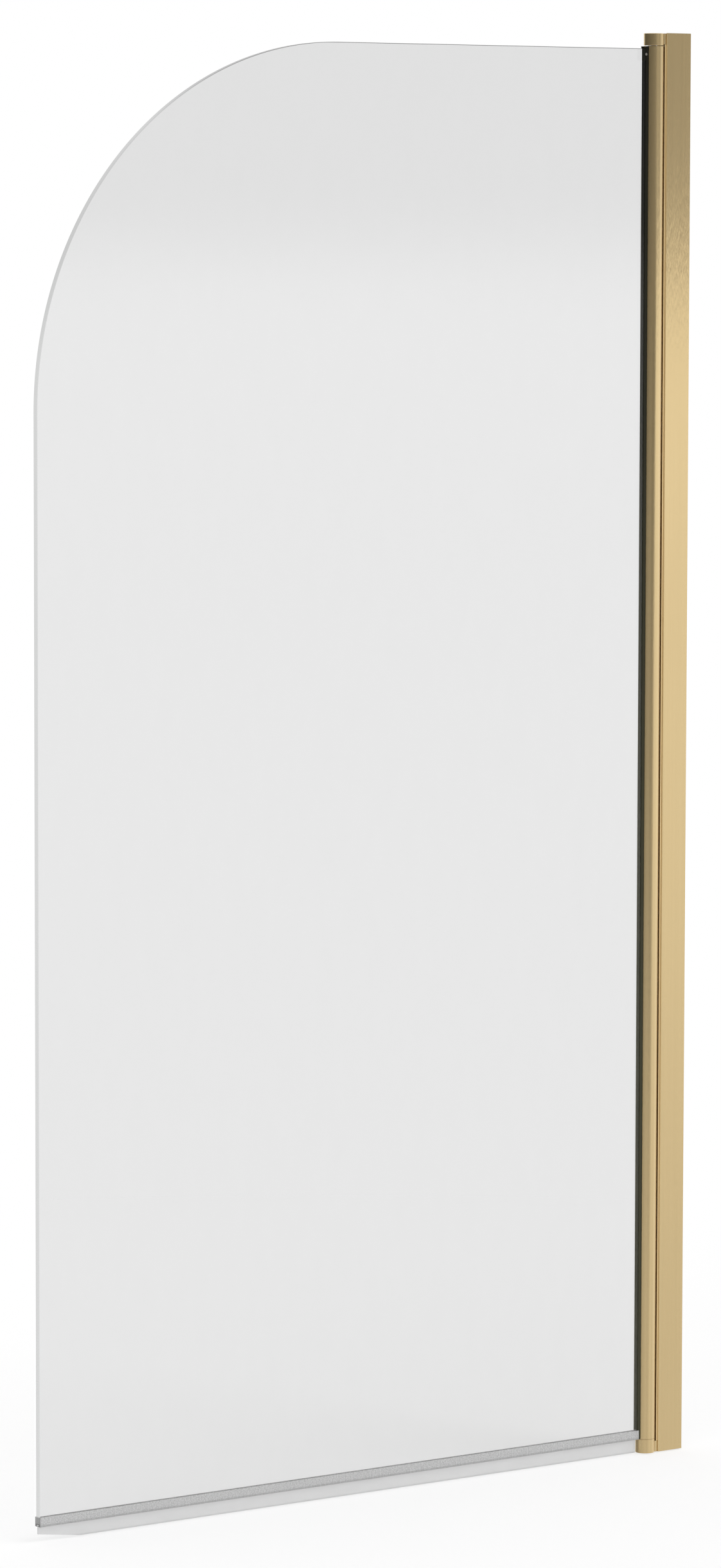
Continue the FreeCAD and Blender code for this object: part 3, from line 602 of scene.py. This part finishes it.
class BATHSCREEN_OT_brasswork(PieceOperator):
    """Ease the edges of the brass extrusions and brush all the brass"""
    bl_idname = "bath_screen.brasswork"
    bl_label = "Brasswork"

    extrusions = (
        ("wall_channel", "channel_shell", "wall_side"),
        ("hinge_post", "post_shell", "wall_side"),
        ("pivot_barrel", "barrel_shell", "panel_side"),
    )
    caps = ("bottom_hinge_cap", "top_hinge_cap")
    mouth_axes = {"wall_channel": X_AXIS, "hinge_post": Y_AXIS}

    def make(self, scene):
        settings = scene.bath_screen_brass
        brass = brushed_brass("brushed_brass", settings, settings.shine)
        mouth_brass = brushed_brass("mouth_brass", settings, settings.mouth_shine)
        for node, name, body in self.extrusions:
            piece = eased_copy(node, name, settings.edge_round, 2, runs_along(Z_AXIS, 0.5))
            dress(piece, brass)
            if node in self.mouth_axes:
                axis = self.mouth_axes[node]
                dress(piece, brass, mouth_brass)
                finish_faces(piece, 1, lambda face: face.normal[axis] < -0.5)
            fit(piece, body, "brushed_brass", node)
        for node in self.caps:
            dress_node(node, brass)


class BATHSCREEN_OT_boot(PieceOperator):
    """Round the glazing boot and the water seal and give them their rubber"""
    bl_idname = "bath_screen.boot"
    bl_label = "Glazing Boot"

    def make(self, scene):
        settings = scene.bath_screen_seals
        boot = eased_copy("glazing_boot", "rubber_boot", settings.soft_round, 3,
                          runs_along(Z_AXIS, 0.5))
        clear_the_glass(boot)
        # The boot's rubber carries the painted light from below.
        dress(boot, gasket_rubber("gasket_rubber", settings.rubber, settings.floor_light_and_dust))
        fit(boot, "panel_side", "dark_gasket", "glazing_boot")
        strip = eased_copy("post_water_seal", "water_strip", settings.soft_round, 3,
                           runs_along(Z_AXIS, 0.5))
        # The strip's warm brown is a painted reflection of the brass in the slit.
        dress(strip, gasket_rubber("strip_rubber_painted_reflection", settings.strip, settings.strip))
        fit(strip, "wall_side", "dark_gasket", "post_water_seal")


class BATHSCREEN_OT_bottom_seal(PieceOperator):
    """Round the clip-on rail and the wiper blade under the glass"""
    bl_idname = "bath_screen.bottom_seal"
    bl_label = "Bottom Seal"

    def make(self, scene):
        settings = scene.bath_screen_seals
        rail = eased_copy("bottom_seal_carrier", "seal_rail", settings.soft_round, 3,
                          runs_along(X_AXIS, 0.3))
        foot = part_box("bottom_seal_carrier")[0].z
        dress(rail, rail_plastic("rail_plastic", settings.rail, foot),
              rail_plastic("sawn_plastic", settings.sawn, foot))
        finish_faces(rail, 1, lambda face: face.normal.x < -0.5)
        rail.visible_shadow = False
        fit(rail, "panel_side", "seal_plastic", "bottom_seal_carrier")
        blade = eased_copy("bottom_seal_blade", "wiper_blade", settings.soft_round, 3,
                           runs_along(X_AXIS, 0.3))
        dress(blade, blade_plastic(settings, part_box("bottom_seal_blade")[0].z))
        fit(blade, "panel_side", "blade_plastic", "bottom_seal_blade")


class BATHSCREEN_OT_fittings(PieceOperator):
    """Finish the screws, pins, bushes, covers and other small fittings"""
    bl_idname = "bath_screen.fittings"
    bl_label = "Fittings"

    steel_nodes = ("bottom_pivot_pin", "top_pivot_pin", "bottom_cap_screws", "top_cap_screws",
                   "post_clamp_screws")
    nylon_nodes = ("glass_setting_block", "bottom_pivot_bush", "top_pivot_bush")

    def make(self, scene):
        steel = bright_steel()
        nylon = moulded_plastic("natural_nylon", (0.42, 0.42, 0.38), (0.55, 0.55, 0.50), 0.35)
        for node in self.steel_nodes:
            dress_node(node, steel)
        for node in self.nylon_nodes:
            dress_node(node, nylon)
        stud = scene.bath_screen_seals.stud
        darker = [channel * 0.9 for channel in stud]
        dress_node("boot_stud", moulded_plastic("stud_plastic", darker, stud, 0.30))
        dress_node("clamp_screw_covers",
                   moulded_plastic("brass_plastic", (0.50, 0.37, 0.19), (0.58, 0.44, 0.23), 0.40))
        dress_node("channel_top_plug",
                   moulded_plastic("dark_plastic", (0.05, 0.045, 0.04), (0.07, 0.065, 0.06), 0.45))


class BATHSCREEN_OT_studio(PieceOperator):
    """Lay the pale floor, light it softly and set the camera"""
    bl_idname = "bath_screen.studio"
    bl_label = "Studio"

    def make(self, scene):
        settings = scene.bath_screen_studio
        pale_floor(settings)
        surroundings(scene)
        soft_lamp("key_lamp", (1.6, -2.6, 3.0), settings.key_strength)
        soft_lamp("fill_lamp", (-2.8, -1.6, 1.6), settings.fill_strength)
        set_camera(scene, settings)
        scene.view_settings.view_transform = "Standard"


# ---------------------------------------------------------------- studio


def pale_floor(settings):
    """A round floor just under the screen, white to the eye but keeping the shadow."""
    low, high = CAD_BOX
    middle = (low + high) / 2
    bpy.ops.mesh.primitive_circle_add(vertices=128, radius=settings.floor_radius, fill_type="NGON",
                                      location=(middle.x, middle.y, low.z - MILLIMETRE))
    floor = bpy.context.active_object
    floor.name = "floor"
    material = bpy.data.materials.new("pale_floor")
    material.use_nodes = True
    graph = Graph(material.node_tree)
    seen = graph.add("ShaderNodeLightPath", out="Is Camera Ray")
    through = graph.add("ShaderNodeLightPath", out="Is Transmission Ray")
    watched = seen.most(through)
    paint = graph.add("ShaderNodeBsdfDiffuse", None, {"Color": (settings.floor_tone,) * 3})
    white = graph.add("ShaderNodeEmission", None, {"Strength": 1.0})
    place = graph.add("ShaderNodeTexCoord", out="Object")
    reach = graph.add("ShaderNodeVectorMath", {"operation": "LENGTH"}, {0: place}, out="Value")
    far = reach.ramp(settings.floor_radius * 0.3, settings.floor_radius * 0.6)
    whiteness = watched * (far * (1.0 - settings.floor_lift) + settings.floor_lift)
    surface = graph.add("ShaderNodeMixShader", None, {0: whiteness, 1: paint, 2: white})
    graph.add("ShaderNodeOutputMaterial", None, {"Surface": surface})
    dress(floor, material)
    floor.visible_glossy = False


def bearing_stop(angle, tone):
    """A ramp stop at a compass bearing: 0 is the front, 90 the wall's side, -90 the free side."""
    return angle / 360.0 + 0.5, tone


def surroundings(scene):
    """White behind the screen; in front a soft room, bright at the wall's side only.

    Each ring gives the room's greys at one height of the view, as pairs of bearing and tone.
    """
    seen_through_glass = (0.955, 0.955, 0.955)
    ceiling = (0.85, 0.85, 0.85)
    scene.world = bpy.data.worlds.new("surroundings")
    scene.world.use_nodes = True
    graph = Graph(scene.world.node_tree)
    direction = graph.add("ShaderNodeTexCoord", out="Generated")
    east, north, height = (graph.add("ShaderNodeSeparateXYZ", None, {"Vector": direction}, out=axis)
                           for axis in "XYZ")
    bearing = graph.add("ShaderNodeMath", {"operation": "ARCTAN2"}, {0: east, 1: north * -1.0})
    turn = bearing / (2 * pi) + 0.5

    def around(*stops):
        return graph.add("ShaderNodeValToRGB", {"stops": [bearing_stop(*stop) for stop in stops]},
                         {"Fac": turn})

    walls = around((-180, 0.6), (-173, 0.12), (-150, 0.05), (-100, 0.07), (-50, 0.12), (-8, 0.20),
                   (12, 0.42), (29, 0.31), (45, 0.31), (60, 0.62), (95, 0.86), (140, 1.0))
    rings = (
        (0.002, walls),
        (-0.018, around((-180, 0.6), (-173, 0.15), (-150, 0.07), (-100, 0.11), (-38, 0.20),
                        (-20, 0.11), (4, 0.14), (13, 0.97), (25, 1.0), (45, 1.0), (140, 1.0))),
        (-0.070, around((-180, 0.7), (-173, 0.18), (-150, 0.14), (-100, 0.21), (-57, 0.33),
                        (-41, 0.31), (-26, 0.22), (-8, 0.20), (4, 0.42), (14, 0.82), (25, 0.88),
                        (37, 0.84), (60, 0.92), (140, 1.0))),
        (-0.200, around((-180, 0.8), (-173, 0.20), (-150, 0.20), (-93, 0.50), (-38, 0.62),
                        (-16, 0.56), (17, 0.75), (37, 0.60), (60, 0.78), (140, 0.9))),
    )
    room = graph.blend(height.ramp(0.15, 0.60), walls, ceiling)
    for (upper, _tones), (lower, tones) in zip(rings, rings[1:]):
        room = graph.blend(height.ramp(upper, lower), room, tones)
    seen = graph.add("ShaderNodeLightPath", out="Is Camera Ray")
    through = graph.add("ShaderNodeLightPath", out="Is Transmission Ray")
    mirrored = graph.add("ShaderNodeLightPath", out="Is Glossy Ray")
    behind = north.ramp(0.96, 0.995)
    white = seen.most(through).most(mirrored * behind)
    above_floor = through * height.ramp(-0.014, 0.005)
    sky = graph.blend(above_floor, WHITE, seen_through_glass)
    light = graph.add("ShaderNodeBackground", None,
                      {"Color": graph.blend(white, room, sky), "Strength": 1.0})
    graph.add("ShaderNodeOutputWorld", None, {"Surface": light})


def soft_lamp(name, place, strength):
    """A distant lamp with soft shadows that shines from a place towards the screen's middle."""
    lamp = bpy.data.lights.new(name, "SUN")
    lamp.angle = radians(40)
    lamp.energy = strength
    stand = bpy.data.objects.new(name, lamp)
    bpy.context.scene.collection.objects.link(stand)
    aim = (CAD_BOX[0] + CAD_BOX[1]) / 2 - Vector(place)
    stand.location = place
    stand.rotation_euler = aim.to_track_quat("-Z", "Y").to_euler()
    stand.visible_glossy = stand.visible_transmission = False


def set_camera(scene, settings):
    """The camera at the photograph's viewing angle."""
    turn, rise, roll = settings.camera_azimuth, settings.camera_elevation, settings.camera_roll
    back = Vector((sin(turn) * cos(rise), -cos(turn) * cos(rise), sin(rise)))
    right = Vector((cos(turn), sin(turn), 0.0))
    up = back.cross(right)
    right, up = cos(roll) * right + sin(roll) * up, cos(roll) * up - sin(roll) * right
    camera = bpy.data.objects.new("camera", bpy.data.cameras.new("camera"))
    camera.data.lens = settings.camera_lens
    camera.location = Vector(settings.camera_aim) + back * settings.camera_distance
    camera.rotation_euler = Matrix((right, up, back)).transposed().to_euler()
    scene.collection.objects.link(camera)
    scene.camera = camera


# ---------------------------------------------------------------- panel and running


class BATHSCREEN_PT_sidebar(bpy.types.Panel):
    """Lists the operators and their settings"""
    bl_label = "Bath Screen"
    bl_idname = "BATHSCREEN_PT_sidebar"
    bl_space_type = "VIEW_3D"
    bl_region_type = "UI"
    bl_category = "Bath Screen"

    def draw(self, context):
        for operator in OPERATORS:
            self.layout.operator(operator.bl_idname)
        for name, kind in SETTINGS.items():
            box = self.layout.box()
            for field in kind.__annotations__:
                box.prop(getattr(context.scene, name), field)


OPERATORS = (
    BATHSCREEN_OT_glass,
    BATHSCREEN_OT_brasswork,
    BATHSCREEN_OT_boot,
    BATHSCREEN_OT_bottom_seal,
    BATHSCREEN_OT_fittings,
    BATHSCREEN_OT_studio,
)
CLASSES = (*SETTINGS.values(), *OPERATORS, BATHSCREEN_PT_sidebar)


def register():
    for kind in CLASSES:
        bpy.utils.register_class(kind)
    for name, kind in SETTINGS.items():
        setattr(bpy.types.Scene, name, PointerProperty(type=kind))


def unregister():
    for name in SETTINGS:
        delattr(bpy.types.Scene, name)
    for kind in reversed(CLASSES):
        bpy.utils.unregister_class(kind)


def main():
    register()
    bpy.ops.object.select_all(action="DESELECT")
    bpy.ops.bath_screen.glass()
    bpy.ops.bath_screen.brasswork()
    bpy.ops.bath_screen.boot()
    bpy.ops.bath_screen.bottom_seal()
    bpy.ops.bath_screen.fittings()
    bpy.ops.bath_screen.studio()


if __name__ == "__main__":
    main()
